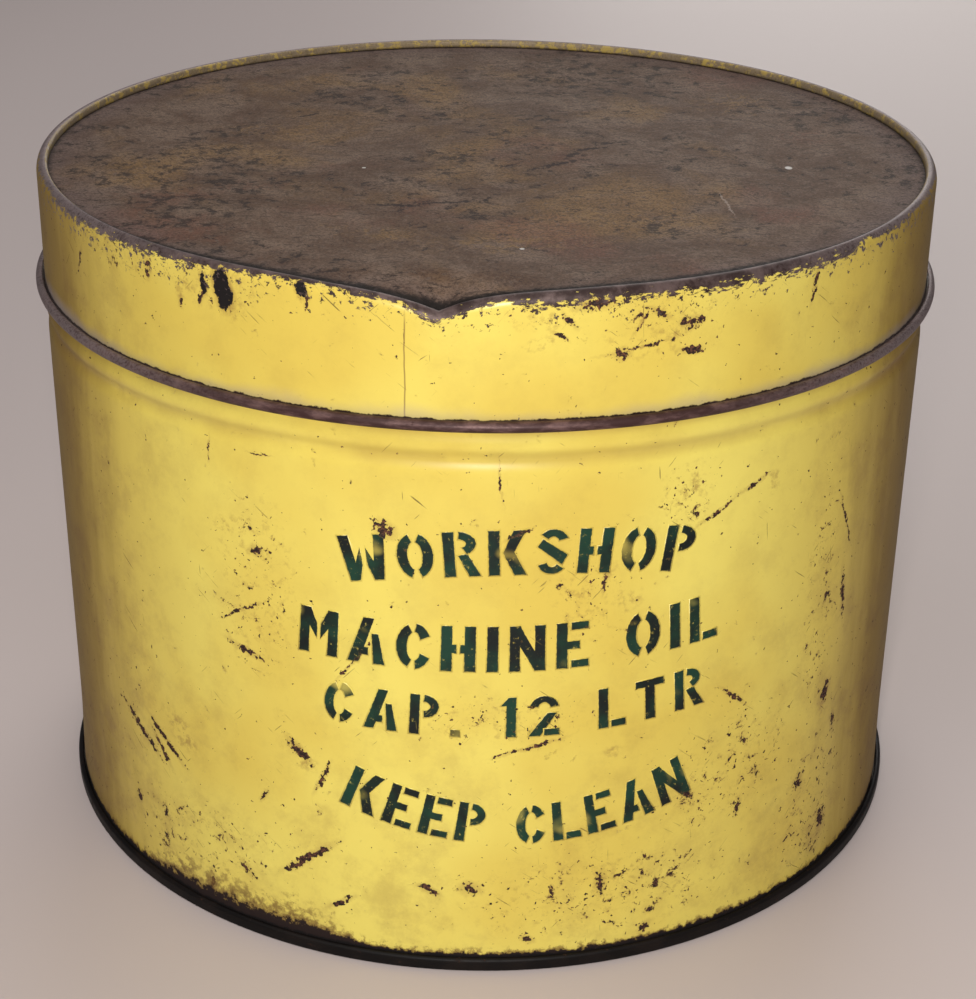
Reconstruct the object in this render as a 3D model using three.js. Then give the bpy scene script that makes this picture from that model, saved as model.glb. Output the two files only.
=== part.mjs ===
// A round tinplate oil tin with a deep slip-on lid.
// The body is one rolled sheet, double-seamed to a countersunk bottom end. The lid is a skirt with a wired
// lower edge, whose top is folded over the flange of a recessed round panel. One knock has bent the lid's
// rim down in a V, and the lid now rests on the tin's mouth at the foot of that V.
// Millimetres, +Z up, origin on the ground at the tin's axis. Angles run from the front (-Y) towards +X.

import * as THREE from "three";
import { mergeVertices } from "three/addons/utils/BufferGeometryUtils.js";

// Driving dimensions
const bodyRadius = 140; // outside of the body's wall
const neckInset = 0.5; // how far the neck, inside the lid, is drawn in from the wall
const mouthHeight = 205; // top of the curled mouth
const sheet = 0.4; // tinplate thickness
const gap = 0.3; // clearance between pieces that are folded or seated together
const lidClearance = 0.5; // between the neck and the inside of the lid's skirt
const lidDepth = 37.3; // from the lid's crest down to the middle of its wired edge
const wireRadius = 0.9; // both stiffening wires
const segments = 72; // steps round the tin

// The ridge under the lid's edge and the groove under the ridge
const ridgeBelowLid = 7.5; // from the middle of the lid's wired edge down to the middle of the ridge
const grooveBelowRidge = 3.3;
const grooveDepth = 1.0;
const ridgeRise = 0.2; // how far the ridge stands out from the wall
const flank = 2.9; // height of each sloping side
const crown = 0.5; // half the flat at the groove's foot and the ridge's top

// The bottom double seam
const seamHeight = 4.2;
const countersink = 4; // middle of the bottom sheet above the ground
const compoundHeight = 0.5;

// The lid's rim
const recess = 2.7; // the crest stands this far above the panel
const rimWidth = 3; // from the hook's middle out to the skirt's middle
const shoulderDrop = 3.2; // from the crest's middle down to where the skirt is upright
const flangeHeight = 1.7; // the panel's edge, turned up inside the fold

// The knock in the lid's rim
const dentDepth = 6.6;
const dentAngle = -5; // degrees from the front
const dentSpread = 4.6; // degrees over which the V fades
const dentReach = 22; // how far down the skirt and in along the panel it runs
const dentPush = 0.3; // how far the crest is pushed in at the V

// Solder along the inside of the body's side seam, at the back
const solderWidth = 5;
const solderThickness = 0.4;

// Worked out from the above
const half = sheet / 2;
const wallMiddle = bodyRadius - half;
const neckMiddle = wallMiddle - neckInset;
const layer = sheet + gap; // pitch of the seam's folded layers
const seamFoot = half + layer; // middle of the wall's outward fold
const compoundFoot = seamHeight - sheet - gap - compoundHeight;
const curlRadius = wireRadius + gap + half; // middle of a sheet curled round its wire
const skirtMiddle = neckMiddle + sheet + lidClearance;
const lidFloor = mouthHeight + gap + dentDepth; // underside of the panel
const panelTop = lidFloor + sheet;
const crestMiddle = panelTop + recess - half;
const wiredEdgeHeight = panelTop + recess - lidDepth;
const ridgeHeight = wiredEdgeHeight - ridgeBelowLid;
const grooveHeight = ridgeHeight - grooveBelowRidge;
const hookMiddle = skirtMiddle - rimWidth;
const panelEdge = hookMiddle + rimWidth / 2; // middle of the panel's turned-up flange
const rimInside = hookMiddle - sheet; // the knock takes the rim down bodily from here outwards

const radians = THREE.MathUtils.degToRad;
const at = (radius, height) => new THREE.Vector2(radius, height);

// Points of an arc in a profile, from one angle to another, in degrees from outwards.
function arc(centre, radius, from, to, steps) {
  return Array.from({ length: steps + 1 }, (_, i) => {
    const angle = radians(from + ((to - from) * i) / steps);
    return at(centre.x + radius * Math.cos(angle), centre.y + radius * Math.sin(angle));
  });
}

// One side of a sheet whose middle follows a line of points.
function offsetLine(line, distance) {
  return line.map((point, i) => {
    const before = line[Math.max(i - 1, 0)];
    const after = line[Math.min(i + 1, line.length - 1)];
    const arriving = point.clone().sub(before).normalize();
    const leaving = after.clone().sub(point).normalize();
    const along = arriving.clone().add(leaving).normalize();
    const stretch = 1 / along.dot(i > 0 ? arriving : leaving);
    return point.clone().addScaledVector(at(-along.y, along.x), distance * stretch);
  });
}

// The closed outline of a sheet bent along a line.
const sheetOutline = (line) => [...offsetLine(line, half), ...offsetLine(line, -half).reverse()];

// Turns a profile outline round the tin's axis. An outline that doesn't start on the axis closes on itself.
function turned(outline) {
  const closed = outline[0].x < 1e-6 ? outline : [...outline, outline[0].clone()];
  const profile = THREE.ShapeUtils.area(outline) > 0 ? closed : closed.reverse();
  return new THREE.LatheGeometry(profile, segments).rotateX(Math.PI / 2);
}

// A curved strip of an upright wall, between two radii and two heights.
function wallStrip(inner, outer, middleAngle, width, bottom, top) {
  const halfAngle = width / 2 / outer;
  const middle = radians(middleAngle - 90);
  const shape = new THREE.Shape();
  shape.absarc(0, 0, outer, middle - halfAngle, middle + halfAngle, false);
  shape.absarc(0, 0, inner, middle + halfAngle, middle - halfAngle, true);
  shape.closePath();
  const settings = { depth: top - bottom, bevelEnabled: false, curveSegments: 2 };
  return new THREE.ExtrudeGeometry(shape, settings).translate(0, 0, bottom);
}

// A round wire bent into a ring.
function wireRing(centreRadius, height) {
  return turned(arc(at(centreRadius, height), wireRadius, 0, 360, 8).slice(0, -1));
}

// Bends the lid's rim down into the V. The bend fades round the rim, down the skirt and in along the panel.
function knocked(geometry) {
  const position = geometry.getAttribute("position");
  const smooth = (t) => THREE.MathUtils.smoothstep(t, 0, 1);
  for (let i = 0; i < position.count; i++) {
    const x = position.getX(i);
    const y = position.getY(i);
    const z = position.getZ(i);
    const radius = Math.hypot(x, y);
    if (radius < 1e-6) continue;
    const angle = THREE.MathUtils.radToDeg(Math.atan2(x, -y));
    const round = Math.exp(-Math.abs(angle - dentAngle) / dentSpread);
    const down = smooth(1 - (lidFloor - z) / dentReach);
    const inwards = smooth(1 - (rimInside - radius) / dentReach);
    const share = round * down * inwards;
    const pushed = radius - dentPush * share;
    position.setXYZ(i, (x / radius) * pushed, (y / radius) * pushed, z - dentDepth * share);
  }
  return geometry;
}

function bodyShell() {
  const grooveMiddle = wallMiddle - grooveDepth;
  const ridgeMiddle = wallMiddle + ridgeRise;
  const curlCentre = at(neckMiddle - curlRadius, mouthHeight - half - curlRadius);
  const line = [
    at(wallMiddle + 2 * layer, compoundFoot - gap),
    at(wallMiddle + 2 * layer, seamFoot),
    at(wallMiddle, seamFoot),
    at(wallMiddle, grooveHeight - crown - flank),
    at(grooveMiddle, grooveHeight - crown),
    at(grooveMiddle, grooveHeight + crown),
    at(ridgeMiddle, ridgeHeight - crown),
    at(ridgeMiddle, ridgeHeight + crown),
    at(neckMiddle, ridgeHeight + crown + flank),
    ...arc(curlCentre, curlRadius, 0, 290, 7),
  ];
  return turned(sheetOutline(line));
}

function bottomEnd() {
  const foldTop = seamHeight - half;
  const line = [
    at(0, countersink),
    at(wallMiddle - layer, countersink),
    at(wallMiddle - layer, half),
    at(wallMiddle + 3 * layer, half),
    at(wallMiddle + 3 * layer, foldTop),
    at(wallMiddle + layer, foldTop),
    at(wallMiddle + layer, seamFoot + half + gap),
  ];
  return turned(sheetOutline(line));
}

function seamCompound() {
  const middle = wallMiddle + 2 * layer;
  const line = [at(middle, compoundFoot), at(middle, compoundFoot + compoundHeight)];
  return turned(sheetOutline(line));
}

function sideSeamSolder() {
  const outer = wallMiddle - half - gap;
  const bottom = countersink + half + gap;
  const top = grooveHeight - crown - flank - gap;
  return wallStrip(outer - solderThickness, outer, 180, solderWidth, bottom, top);
}

function lidSkirt() {
  const wireCentre = at(skirtMiddle + curlRadius, wiredEdgeHeight);
  const hook = [at(hookMiddle, panelTop + gap), at(hookMiddle, crestMiddle - rimWidth / 4)];
  const crestCentre = at(hookMiddle + rimWidth / 3, crestMiddle - shoulderDrop);
  const shoulder = [75, 50, 25, 0].map((degrees) => {
    const angle = radians(degrees);
    const reach = skirtMiddle - crestCentre.x;
    return at(crestCentre.x + reach * Math.cos(angle), crestCentre.y + shoulderDrop * Math.sin(angle));
  });
  const upright = [0.25, 0.5, 0.75, 1].map((share) => at(skirtMiddle, lidFloor - dentReach * share));
  const edge = arc(wireCentre, curlRadius, 180, 470, 7);
  const line = [...hook, at(crestCentre.x, crestMiddle), ...shoulder, ...upright, ...edge];
  return knocked(turned(sheetOutline(line)));
}

function lidPanel() {
  const middle = lidFloor + half;
  const bent = [1, 0.75, 0.5, 0.25, 0].map((share) => at(rimInside - dentReach * share, middle));
  const flange = [at(panelEdge, middle), at(panelEdge, middle + flangeHeight)];
  return knocked(turned(sheetOutline([at(0, middle), ...bent, ...flange])));
}

// Materials
const yellowEnamel = new THREE.MeshStandardMaterial({ color: 0xe3c544, roughness: 0.4, metalness: 0 });
const wornPanel = new THREE.MeshStandardMaterial({ color: 0x6e5f54, roughness: 0.6, metalness: 0.2 });
const blackSeam = new THREE.MeshStandardMaterial({ color: 0x1c1715, roughness: 0.55, metalness: 0.1 });
const steelWire = new THREE.MeshStandardMaterial({ color: 0x8a8580, roughness: 0.45, metalness: 0.9 });
const softSolder = new THREE.MeshStandardMaterial({ color: 0x9c9a94, roughness: 0.5, metalness: 0.8 });
const seamRubber = new THREE.MeshStandardMaterial({ color: 0x3a3632, roughness: 0.9, metalness: 0 });

const tin = new THREE.Group();
const lid = new THREE.Group();
tin.add(lid);

function addPiece(group, name, geometry, material) {
  geometry.deleteAttribute("normal");
  geometry.deleteAttribute("uv");
  const mesh = new THREE.Mesh(mergeVertices(geometry), material);
  mesh.name = name;
  mesh.geometry.computeVertexNormals();
  group.add(mesh);
}

addPiece(tin, "body_shell", bodyShell(), yellowEnamel);
addPiece(tin, "bottom_end", bottomEnd(), blackSeam);
addPiece(tin, "seam_compound", seamCompound(), seamRubber);
addPiece(tin, "side_seam_solder", sideSeamSolder(), softSolder);
addPiece(tin, "mouth_wire", wireRing(neckMiddle - curlRadius, mouthHeight - half - curlRadius), steelWire);
addPiece(lid, "lid_skirt", lidSkirt(), yellowEnamel);
addPiece(lid, "lid_panel", lidPanel(), wornPanel);
addPiece(lid, "lid_rim_wire", wireRing(skirtMiddle + curlRadius, wiredEdgeHeight), steelWire);

export default tin;
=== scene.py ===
import math
import bpy
import bmesh
import numpy as np
from mathutils import Matrix, Vector


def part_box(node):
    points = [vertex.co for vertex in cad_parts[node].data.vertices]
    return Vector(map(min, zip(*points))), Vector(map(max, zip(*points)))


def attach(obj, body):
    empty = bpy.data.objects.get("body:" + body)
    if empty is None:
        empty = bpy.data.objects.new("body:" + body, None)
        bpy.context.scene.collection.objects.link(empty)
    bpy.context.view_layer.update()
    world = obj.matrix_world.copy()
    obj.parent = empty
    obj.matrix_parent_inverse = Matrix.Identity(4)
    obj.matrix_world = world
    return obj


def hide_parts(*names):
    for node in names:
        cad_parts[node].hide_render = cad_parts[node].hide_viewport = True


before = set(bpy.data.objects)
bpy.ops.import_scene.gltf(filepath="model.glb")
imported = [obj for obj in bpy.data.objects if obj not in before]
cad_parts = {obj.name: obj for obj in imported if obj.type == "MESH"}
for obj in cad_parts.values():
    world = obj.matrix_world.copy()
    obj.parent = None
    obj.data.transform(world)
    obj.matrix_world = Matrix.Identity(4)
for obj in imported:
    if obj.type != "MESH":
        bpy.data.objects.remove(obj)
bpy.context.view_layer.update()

# An old round oil tin: yellow enamel, green stencilled lettering, a worn slip-on lid with a knocked rim.
# Lengths in the dictionaries are millimetres and angles are degrees, from the front round to the right.

mm = 0.001

# sizes shared by several pieces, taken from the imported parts
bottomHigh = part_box("bottom_end")[1]
wireLow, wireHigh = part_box("lid_rim_wire")
sheet = 0.4
wall = {
    "radius": bottomHigh.x / mm - 2.3,  # middle of the sheet
    "seamTop": bottomHigh.z / mm,
    "mouth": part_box("body_shell")[1].z / mm,
}
lidSize = {
    "top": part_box("lid_skirt")[1].z / mm,
    "beadHeight": (wireLow.z + wireHigh.z) / 2 / mm,
}
wall["neck"] = wall["radius"] - 0.5
lidSize["skirt"] = wall["neck"] + 0.9
lidSize["panel"] = lidSize["top"] - 2.7
lidSize["hook"] = lidSize["skirt"] - 3
print("sizes read", wall, lidSize)


# camera

camera = {"distance": 653, "height": 400, "down": 25.45, "aside": -0.155, "roll": 0.77, "lens": 76.1}

lensData = bpy.data.cameras.new("camera")
lensData.sensor_width = 36
lensData.lens = camera["lens"]
lensData.clip_start = 0.01
cameraObject = bpy.data.objects.new("camera", lensData)
bpy.context.scene.collection.objects.link(cameraObject)
cameraObject.matrix_world = (
    Matrix.Translation((0, -camera["distance"] * mm, camera["height"] * mm))
    @ Matrix.Rotation(math.radians(camera["aside"]), 4, "Z")
    @ Matrix.Rotation(math.radians(90 - camera["down"]), 4, "X")
    @ Matrix.Rotation(math.radians(camera["roll"]), 4, "Z")
)
bpy.context.scene.camera = cameraObject


# small helpers for node trees, used for shading and for geometry; a value is a socket or a plain number

def feed(socket, value):
    if isinstance(value, bpy.types.NodeSocket):
        socket.id_data.links.new(value, socket)
    else:
        socket.default_value = value


def addNode(tree, kind, inputs=(), **settings):
    # inputs go by their order, or by name in a dictionary
    node = tree.nodes.new(kind)
    for name, value in settings.items():
        setattr(node, name, value)
    for key, value in inputs.items() if isinstance(inputs, dict) else enumerate(inputs):
        feed(node.inputs[key], value)
    return node


def treeOf(values):
    # at least one of them is a socket
    return next(value for value in values if isinstance(value, bpy.types.NodeSocket)).id_data


def maths(operation, *values):
    return addNode(treeOf(values), "ShaderNodeMath", values, operation=operation).outputs[0]


def chained(operation, values):
    result = values[0]
    for value in values[1:]:
        result = maths(operation, result, value)
    return result


def product(*values):
    return chained("MULTIPLY", values)


def total(*values):
    return chained("ADD", values)


def largest(*values):
    return chained("MAXIMUM", values)


def minus(value, taken):
    return maths("SUBTRACT", value, taken)


def without(share):
    return maths("SUBTRACT", 1.0, share)


def swing(noiseValue, size):
    # a noise made to swing evenly either side of nothing
    return product(minus(noiseValue, 0.5), size)


def vectorMaths(operation, *values):
    node = addNode(treeOf(values), "ShaderNodeVectorMath", values, operation=operation)
    return node.outputs["Value" if operation == "LENGTH" else "Vector"]


def scaled(vector, factor):
    inputs = {0: vector, "Scale": factor}
    return addNode(vector.id_data, "ShaderNodeVectorMath", inputs, operation="SCALE").outputs[0]


def combined(x, y, z):
    return addNode(treeOf((x, y, z)), "ShaderNodeCombineXYZ", (x, y, z)).outputs[0]


def parts(vector):
    return addNode(vector.id_data, "ShaderNodeSeparateXYZ", (vector,)).outputs[:]


def fade(value, start, end, low=0.0, high=1.0):
    # low at start, high at end, soft between; start may be larger than end
    if start > end:
        start, end, low, high = end, start, high, low
    inputs = (value, start, end, low, high)
    return addNode(value.id_data, "ShaderNodeMapRange", inputs, interpolation_type="SMOOTHSTEP").outputs[0]


def noise(place, scale, detail=3.0, roughness=0.55, distortion=0.0, output="Fac"):
    return addNode(place.id_data, "ShaderNodeTexNoise", {
        "Vector": place, "Scale": scale, "Detail": detail,
        "Roughness": roughness, "Distortion": distortion,
    }).outputs[output]


def blended(share, first, second):
    first, second = [(*tone, 1) if isinstance(tone, tuple) else tone for tone in (first, second)]
    inputs = {0: share, 6: first, 7: second}
    return addNode(share.id_data, "ShaderNodeMix", inputs, data_type="RGBA").outputs[2]


def mixed(share, first, second):
    inputs = {0: share, 2: first, 3: second}
    return addNode(share.id_data, "ShaderNodeMix", inputs, data_type="FLOAT").outputs[0]


def newMaterial(name):
    material = bpy.data.materials.new(name)
    material.use_nodes = True
    return material, material.node_tree


def setShader(tree, values, surface, depth):
    # surface is the bump's height, and depth its size in millimetres
    shader = tree.nodes["Principled BSDF"]
    for name, value in values.items():
        feed(shader.inputs[name], value)
    bump = addNode(tree, "ShaderNodeBump", {"Strength": 0.6, "Distance": depth * mm, "Height": surface})
    feed(shader.inputs["Normal"], bump.outputs[0])


def attribute(tree, name, output="Fac"):
    return addNode(tree, "ShaderNodeAttribute", attribute_name=name).outputs[output]


def liningShare(tree):
    # 1 on the faces that were never painted
    return fade(attribute(tree, "lining"), 0.4, 0.6)


def objectPlace(tree):
    # in millimetres
    return scaled(addNode(tree, "ShaderNodeTexCoord").outputs["Object"], 1000)


def madePlace(tree):
    # where a point was before the sheet was pushed about, in millimetres
    return scaled(attribute(tree, "madePlace", "Vector"), 1000)


def unrolled(place, radius):
    # millimetres round the wall from the front, and height
    x, y, z = parts(place)
    along = product(maths("ARCTAN2", x, product(y, -1.0)), radius)
    return combined(along, z, 0.0), along, z


def ragged(flat, place, fine=1.0, broad=2.0):
    # shifts a place a little, so that edges drawn with it look torn
    for scale, detail, size in ((0.9, 3, fine), (0.16, 2, broad)):
        shift = vectorMaths("SUBTRACT", noise(place, scale, detail, output="Color"), (0.5, 0.5, 0.5))
        flat = vectorMaths("ADD", flat, scaled(shift, size * 2))
    return flat


def nearestMark(flat, marks):
    # how far a place is from the nearest mark, where 1 is that mark's edge
    nearest = None
    for along, up, length, width, turn in marks:
        inputs = (flat, (along, up, 0), (0, 0, math.radians(turn)), (length / 2, width / 2, 1))
        mark = addNode(flat.id_data, "ShaderNodeMapping", inputs, vector_type="TEXTURE")
        reach = vectorMaths("LENGTH", mark.outputs[0])
        nearest = reach if nearest is None else maths("MINIMUM", nearest, reach)
    return nearest


def roundWall(marks, radius):
    # marks given by their angle, as places along the unrolled wall
    return [(math.radians(angle) * radius, *others) for angle, *others in marks]


def dashed(flat, turn, shift, long, across, start, end):
    # noise drawn out in one direction, for scratches
    inputs = {"Vector": flat, "Location": (shift, 0, shift), "Rotation": (0, 0, math.radians(turn))}
    lean = addNode(flat.id_data, "ShaderNodeMapping", inputs)
    stretched = vectorMaths("MULTIPLY", lean.outputs[0], (1 / long, 1 / across, 1.0))
    return fade(noise(stretched, 1.0, 2, 0.5), start, end)


def newTree(name, sockets):
    tree = bpy.data.node_groups.new(name, "GeometryNodeTree")
    for label, kind in sockets.items():
        tree.interface.new_socket(label, in_out="INPUT", socket_type="NodeSocket" + kind)
    tree.interface.new_socket("Made", in_out="OUTPUT", socket_type="NodeSocketGeometry")
    return tree, addNode(tree, "NodeGroupInput").outputs


def finishTree(tree, geometry, finish):
    for kind in ("GeometryNodeSetShadeSmooth", "GeometryNodeRealizeInstances", "GeometryNodeSetMaterial"):
        node = addNode(tree, kind, {"Geometry": geometry})
        geometry = node.outputs[0]
    feed(node.inputs["Material"], finish)
    addNode(tree, "NodeGroupOutput", (geometry,))


def runTree(name, mesh, tree, values):
    # puts the tree on the mesh, keeps what it makes as a plain mesh, and drops the modifier
    holder = bpy.data.objects.new(name, mesh)
    bpy.context.scene.collection.objects.link(holder)
    modifier = holder.modifiers.new("tree", "NODES")
    modifier.node_group = tree
    for item in tree.interface.items_tree:
        if item.name in values:
            modifier[item.identifier] = values[item.name]
    bpy.context.view_layer.update()
    made = holder.evaluated_get(bpy.context.evaluated_depsgraph_get())
    plain = bpy.data.meshes.new_from_object(made)
    bpy.data.objects.remove(holder)
    piece = bpy.data.objects.new(name, plain)
    bpy.context.scene.collection.objects.link(piece)
    return piece


# geometry nodes: a bent sheet's profile turned round the tin

def turningTree():
    sockets = {"Profile": "Geometry", "Steps round": "Int", "Rows": "Int", "Finish": "Material"}
    tree, source = newTree("turnedSheet", sockets)
    columns = total(source["Steps round"], 1.0)
    grid = addNode(tree, "GeometryNodeMeshGrid", {"Vertices X": columns, "Vertices Y": source["Rows"]})
    index = addNode(tree, "GeometryNodeInputIndex").outputs[0]
    column = maths("FLOOR", maths("DIVIDE", total(index, 0.5), source["Rows"]))
    row = minus(index, product(column, source["Rows"]))
    count = addNode(tree, "GeometryNodeAttributeDomainSize", (source["Profile"],))
    point = maths("FLOORED_MODULO", row, count.outputs["Point Count"])

    def sampled(kind, value):
        inputs = {"Geometry": source["Profile"], "Value": value, "Index": point}
        return addNode(tree, "GeometryNodeSampleIndex", inputs, data_type=kind).outputs[0]

    def stored(geometry, kind, name, value):
        inputs = {"Geometry": geometry, "Name": name, "Value": value}
        return addNode(tree, "GeometryNodeStoreNamedAttribute", inputs, data_type=kind).outputs[0]

    place = addNode(tree, "GeometryNodeInputPosition").outputs[0]
    lining = addNode(tree, "GeometryNodeInputNamedAttribute", ("lining",), data_type="FLOAT").outputs[0]
    radius, _, height = parts(sampled("FLOAT_VECTOR", place))
    turn = product(maths("DIVIDE", column, source["Steps round"]), 2 * math.pi)
    across = product(radius, maths("SINE", turn))
    forward = product(radius, maths("COSINE", turn), -1.0)
    inputs = {"Geometry": grid.outputs["Mesh"], "Position": combined(across, forward, height)}
    sheetMade = addNode(tree, "GeometryNodeSetPosition", inputs).outputs[0]
    sheetMade = stored(sheetMade, "FLOAT", "lining", sampled("FLOAT", lining))
    sheetMade = stored(sheetMade, "FLOAT_VECTOR", "madePlace", place)
    inputs = {"Geometry": sheetMade, "Distance": 0.01 * mm}
    finishTree(tree, addNode(tree, "GeometryNodeMergeByDistance", inputs).outputs[0], source["Finish"])
    return tree


def facedOut(piece):
    # closed pieces only
    shape = bmesh.new()
    shape.from_mesh(piece.data)
    bmesh.ops.dissolve_degenerate(shape, dist=0.002 * mm, edges=shape.edges)
    bmesh.ops.recalc_face_normals(shape, faces=shape.faces)
    shape.to_mesh(piece.data)
    shape.free()


def arc(centre, radii, start, end, steps):
    points = []
    for i in range(steps + 1):
        angle = math.radians(start + (end - start) * i / steps)
        points.append((centre[0] + radii[0] * math.cos(angle), centre[1] + radii[1] * math.sin(angle)))
    return points


def upTo(start, end, step):
    # evenly spaced numbers from start to end, both included
    count = max(1, round(abs(end - start) / step))
    return [start + (end - start) * i / count for i in range(count + 1)]


def sheetSides(line):
    # both faces of a sheet whose middle follows the line, left face first
    points = np.array(line)
    ahead = np.vstack([points[1:] - points[:-1], points[-1] - points[-2]])
    ahead /= np.linalg.norm(ahead, axis=1)[:, None]
    behind = np.vstack([ahead[:1], ahead[:-1]])
    along = ahead + behind
    along /= np.linalg.norm(along, axis=1)[:, None]
    stretch = 1 / np.sum(along * ahead, axis=1)
    sideways = np.stack([-along[:, 1], along[:, 0]], 1) * stretch[:, None] * sheet / 2
    return points + sideways, points - sideways


turnedSheet = turningTree()


def turnedPiece(name, line, liningOnLeft, steps, finish):
    left, right = sheetSides(line)
    onAxis = line[0][0] < 1e-6
    outline = np.vstack([left, right[::-1]])
    lining = [float(liningOnLeft)] * len(left) + [float(not liningOnLeft)] * len(right)
    profile = bpy.data.meshes.new(name + "_profile")
    profile.from_pydata([(x * mm, 0, z * mm) for x, z in outline], [], [])
    profile.attributes.new("lining", "FLOAT", "POINT").data.foreach_set("value", lining)
    rows = len(outline) if onAxis else len(outline) + 1
    return runTree(name, profile, turnedSheet, {"Steps round": steps, "Rows": rows, "Finish": finish})


# how the sheet has been pushed about: gentle waves, small dents, and the one hard knock in the lid's rim

bodyWaves = [(2, 0.0, 0.35), (3, 1.1, 0.25), (5, 2.3, 0.14), (8, 4.0, 0.07)]  # times round, phase, size
# angle, height, reach round, reach up, depth
bodyDents = [
    (24, 152, 18, 12, 0.5), (-42, 96, 26, 30, 0.6), (50, 108, 12, 60, -0.5), (58, 50, 20, 25, 0.7),
    (-28, 30, 24, 14, 0.35),
]
lidDents = [
    (-30, 203, 9, 8, 0.5), (17, 200, 16, 8, 0.35), (40, 206, 20, 9, 0.4), (-62, 195, 22, 12, 0.4),
    (150, 200, 26, 10, 0.5),
]
knock = {
    "angle": -5, "depth": 6.4,
    "fadeLeft": 6.2, "fadeRight": 4.7,  # degrees over which it dies away
    "tip": 0.15, "reach": 22, "push": 0.3,
}


def readPlaces(piece):
    places = np.empty(len(piece.data.vertices) * 3)
    piece.data.vertices.foreach_get("co", places)
    return places.reshape(-1, 3) / mm


def writePlaces(piece, places):
    piece.data.vertices.foreach_set("co", (places * mm).ravel())
    piece.data.update()


def smoothed(share):
    share = np.clip(share, 0, 1)
    return share * share * (3 - 2 * share)


def pushWall(piece, dents, low, high, waves=True):
    # moves the wall in and out; the moves die away at its stiff top and bottom edges
    places = readPlaces(piece)
    radius = np.hypot(places[:, 0], places[:, 1])
    angle = np.arctan2(places[:, 0], -places[:, 1])
    height = places[:, 2]
    move = np.zeros(len(places))
    if waves:
        for times, phase, size in bodyWaves:
            move += size * np.cos(times * angle + phase + height / 70)
    for at, level, wide, tall, depth in dents:
        away = np.radians((np.degrees(angle) - at + 180) % 360 - 180) * wall["radius"]
        move -= depth * np.exp(-((away / wide) ** 2) - ((height - level) / tall) ** 2)
    fromBack = 180 - np.abs(np.degrees(angle))
    move *= smoothed((fromBack - 3) / 12)  # the side seam keeps its shape
    if waves:
        move += np.where(radius > wall["radius"], 0.35, 0) * smoothed((2.6 - fromBack) / 0.8)
    move *= smoothed((height - low) / 25) * smoothed((high - height) / 12)
    move *= smoothed((radius - 120) / 15)
    places[:, 0] *= 1 + move / np.maximum(radius, 1)
    places[:, 1] *= 1 + move / np.maximum(radius, 1)
    writePlaces(piece, places)


def knockRim(piece):
    places = readPlaces(piece)
    radius = np.hypot(places[:, 0], places[:, 1])
    away = np.degrees(np.arctan2(places[:, 0], -places[:, 1])) - knock["angle"]
    spread = np.where(away < 0, knock["fadeLeft"], knock["fadeRight"])
    share = np.exp(-(np.hypot(away, knock["tip"]) - knock["tip"]) / spread)
    share *= smoothed((22 - np.abs(away)) / 10)  # gone by 22 degrees
    rimInside = lidSize["hook"] - sheet
    share *= smoothed(1 - (lidSize["panel"] - sheet - places[:, 2]) / knock["reach"])
    share *= smoothed(1 - (rimInside - radius) / knock["reach"])
    pushed = 1 - knock["push"] * share / np.maximum(radius, 1)
    places[:, 0] *= pushed
    places[:, 1] *= pushed
    places[:, 2] -= knock["depth"] * share
    writePlaces(piece, places)


print("tools ready")


# finishes

enamel = {
    "light": (0.72, 0.605, 0.128),
    "deep": (0.575, 0.405, 0.062),
    "shade": (0.155, 0.084, 0.021),
    "stain": (0.25, 0.135, 0.04),
    "rust": (0.125, 0.050, 0.026),
    "darkRust": (0.016, 0.008, 0.007),
}

# angle, height, length, width, slope
bodyMarks = [
    (-48, 54, 17, 1.9, -32), (-43, 56, 14, 1.6, -36), (-44, 52, 10, 1.4, -50), (-22, 70, 8, 2.0, -46),
    (-19, 62, 9, 1.2, 66), (-21, 33, 16, 1.9, 40), (-17, 19, 8, 1.4, 33), (-30, 22, 5, 2.0, -38),
    (-36, 10, 11, 1.6, 82), (-27, 51, 4, 1.4, 58), (-50, 27, 3.4, 2.2, 80), (-29, 99, 9, 1.6, -16),
    (-29, 112, 12, 0.8, 30), (-27, 132, 3.6, 2.4, 10), (-33, 160, 5, 0.6, 88), (-26, 162, 5, 0.5, 0),
    (-15, 102, 11, 0.8, 55), (-11, 145, 5, 3.6, -30), (2, 161, 9, 0.5, 96), (4, 145, 6, 1.0, 28),
    (14, 129, 6, 1.0, 87), (6, 77, 14, 0.9, 16), (-1, 29, 4.6, 3.4, 0), (6, 10, 3.4, 1.8, -20),
    (-6, 28, 5, 1.8, -26), (15, 28, 5.8, 2.4, 90), (21, 9, 3.6, 2.0, 55), (28, 145, 10, 0.9, 28),
    (33, 151, 9, 1.1, 18), (50, 128, 14, 0.9, -66), (51, 102, 13, 1.6, 98), (32, 83, 9, 1.1, -41),
    (49, 69, 6.4, 3.4, 64), (52, 55, 7, 1.8, 98), (45, 41, 4.4, 3.2, 90), (51, 20, 6.4, 3.8, 98),
    (34, 43, 5, 1.6, 78), (96, 120, 14, 1.6, 35), (122, 52, 9, 3.2, -30), (-100, 66, 13, 1.8, -40),
    (-128, 132, 8, 3, 15), (-156, 40, 10, 2.4, 60),
]
bodySmears = [
    (25, 156, 12, 5, 92), (17, 122, 9, 6, 25), (10, 118, 8, 4, 60), (16, 73, 6, 4, 0), (36, 150, 8, 4, 90),
    (46, 32, 12, 8, 90), (51, 20, 14, 9, 98), (49, 66, 12, 6, 70), (-40, 62, 18, 9, -35),
    (-22, 68, 12, 8, -40), (14, 46, 9, 5, 90), (-30, 138, 14, 6, 10),
]
bodyBusy = [
    (16, 24, 90, 34, 0), (32, 58, 56, 40, 30), (46, 104, 18, 84, 0), (48, 30, 34, 56, 0),
    (-38, 26, 62, 30, 14), (-27, 122, 30, 60, 0), (13, 124, 24, 30, 20), (2, 86, 60, 16, 0),
    (24, 152, 20, 26, 0),
]
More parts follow.
